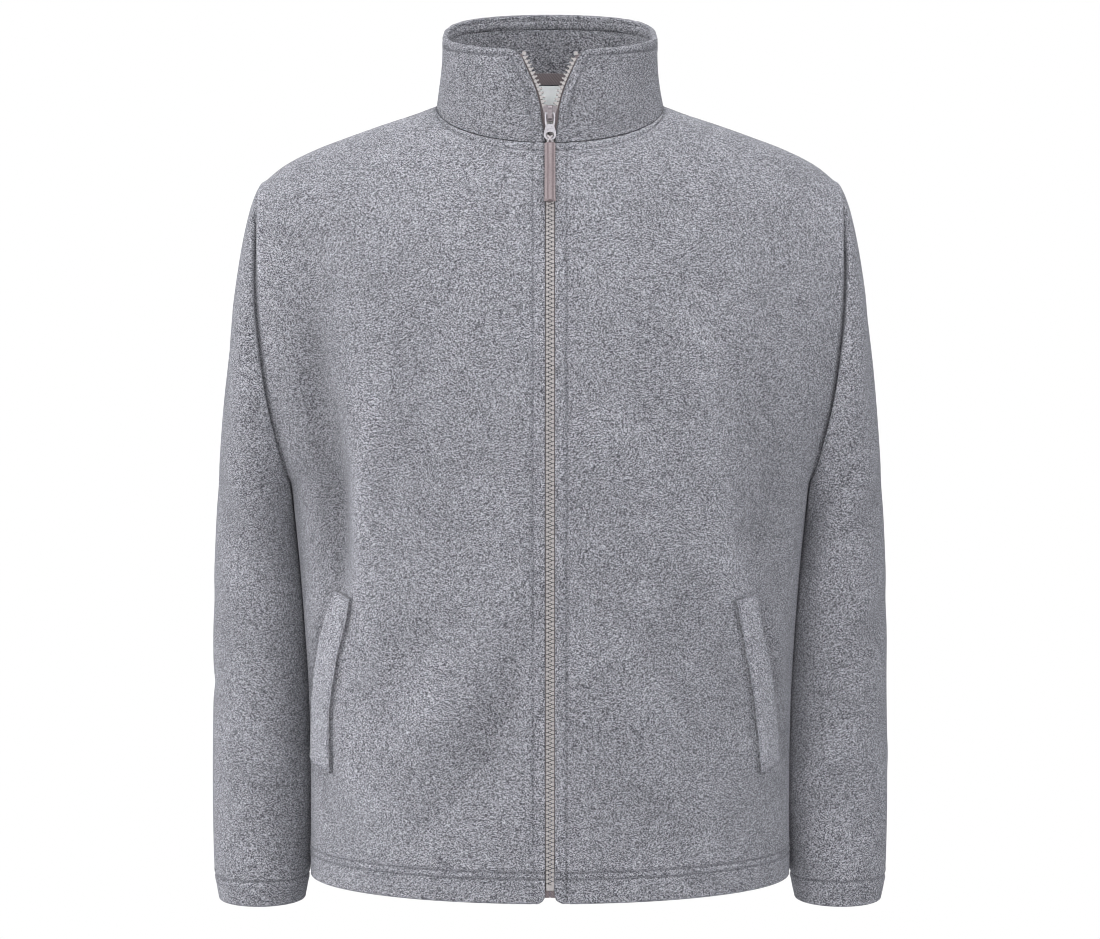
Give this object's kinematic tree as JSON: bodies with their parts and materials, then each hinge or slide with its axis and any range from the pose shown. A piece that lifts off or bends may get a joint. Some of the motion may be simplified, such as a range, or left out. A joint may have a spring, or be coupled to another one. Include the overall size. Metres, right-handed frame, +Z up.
{
  "type": "fleece zip jacket, filled out as worn",
  "caption": "Long-sleeved fleece jacket with a stand collar, a full front zip with a hanging pull tab, and slanting welt pockets.",
  "frame": {"origin": "between the two side neck points and 5 mm below them, where the jacket rests on its wearer's neck and shoulders", "axes": "+X towards the wearer's left, -Y out of the wearer's chest, +Z up"},
  "size_m": [0.625, 0.253, 0.815],
  "materials": {
    "fleece": "grey melange brushed fleece",
    "tape": "woven polyester tape",
    "label": "satin woven label",
    "teeth": "moulded acetal",
    "metal": "grey enamelled die-cast zinc",
    "tab": "soft moulded rubber"
  },
  "bodies": {
    "garment": {"front_right": "fleece", "front_left": "fleece", "back": "fleece", "sleeve_right": "fleece", "sleeve_left": "fleece", "collar": "fleece", "pocket_welt_right": "fleece", "pocket_welt_left": "fleece", "zip_tape_right": "tape", "zip_tape_left": "tape", "neck_tape": "tape", "neck_label": "label", "zip_chain_right": "teeth", "zip_chain_left": "teeth", "zip_top_stop_right": "teeth", "zip_top_stop_left": "teeth", "zip_box": "teeth", "zip_slider": "metal"},
    "puller": {"zip_puller": "metal"},
    "tab": {"pull_tab": "tab"}
  },
  "joints": [
    {"name": "puller_hinge", "type": "hinge", "parent": "garment", "child": "puller", "pos_m": [0, -0.0741, -0.0034], "axis": [-1, 0, 0], "range_deg": [0, 150]},
    {"name": "tab_hinge", "type": "hinge", "parent": "puller", "child": "tab", "pos_m": [0, -0.07682, -0.02594], "axis": [-1, 0, 0], "range_deg": [0, 90]}
  ]
}
